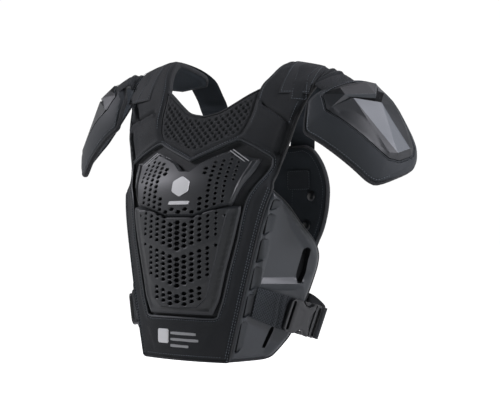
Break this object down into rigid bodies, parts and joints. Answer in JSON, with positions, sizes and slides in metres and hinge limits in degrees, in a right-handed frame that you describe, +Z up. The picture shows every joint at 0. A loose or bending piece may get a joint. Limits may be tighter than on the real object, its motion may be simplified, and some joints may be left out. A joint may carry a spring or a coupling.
{
  "type": "roost deflector",
  "caption": "Charcoal roost deflector with pierced chest and abdomen plates, side wings, buckled waist straps, a back panel and a shoulder cap on each side.",
  "frame": {"origin": "between the shoulders, level with the underside of the shoulder pads, where it sits on the wearer", "axes": "+Z up, -Y to the front of the guard, +X to the wearer's left"},
  "size_m": [0.6203, 0.2586, 0.4766],
  "materials": {
    "fabric": "padded charcoal fabric with stitched edges",
    "knit": "thick knitted mesh with small dimples",
    "plate": "flexible moulded plate, satin to matte",
    "webbing": "woven webbing and elastic",
    "buckle": "moulded plastic with a fine grain",
    "hook": "hook tape",
    "snap": "domed snap"
  },
  "bodies": {
    "root": {"front_pad": "fabric", "neck_mesh": "knit", "chest_plate": "plate", "abdomen_plate": "plate", "side_wing_left": "fabric", "side_wing_right": "fabric", "back_pad": "fabric", "hook_patch": "hook", "snap_upper": "snap", "snap_lower": "snap", "shoulder_strap_left": "webbing", "cap_pad_left": "fabric", "cap_plate_left": "plate", "cap_strap_left": "webbing", "buckle_socket_left": "buckle", "buckle_prong_left": "buckle", "waist_strap_front_left": "webbing", "waist_strap_back_left": "webbing", "shoulder_strap_right": "webbing", "cap_pad_right": "fabric", "cap_plate_right": "plate", "cap_strap_right": "webbing", "buckle_socket_right": "buckle", "buckle_prong_right": "buckle", "waist_strap_front_right": "webbing", "waist_strap_back_right": "webbing"}
  },
  "joints": []
}
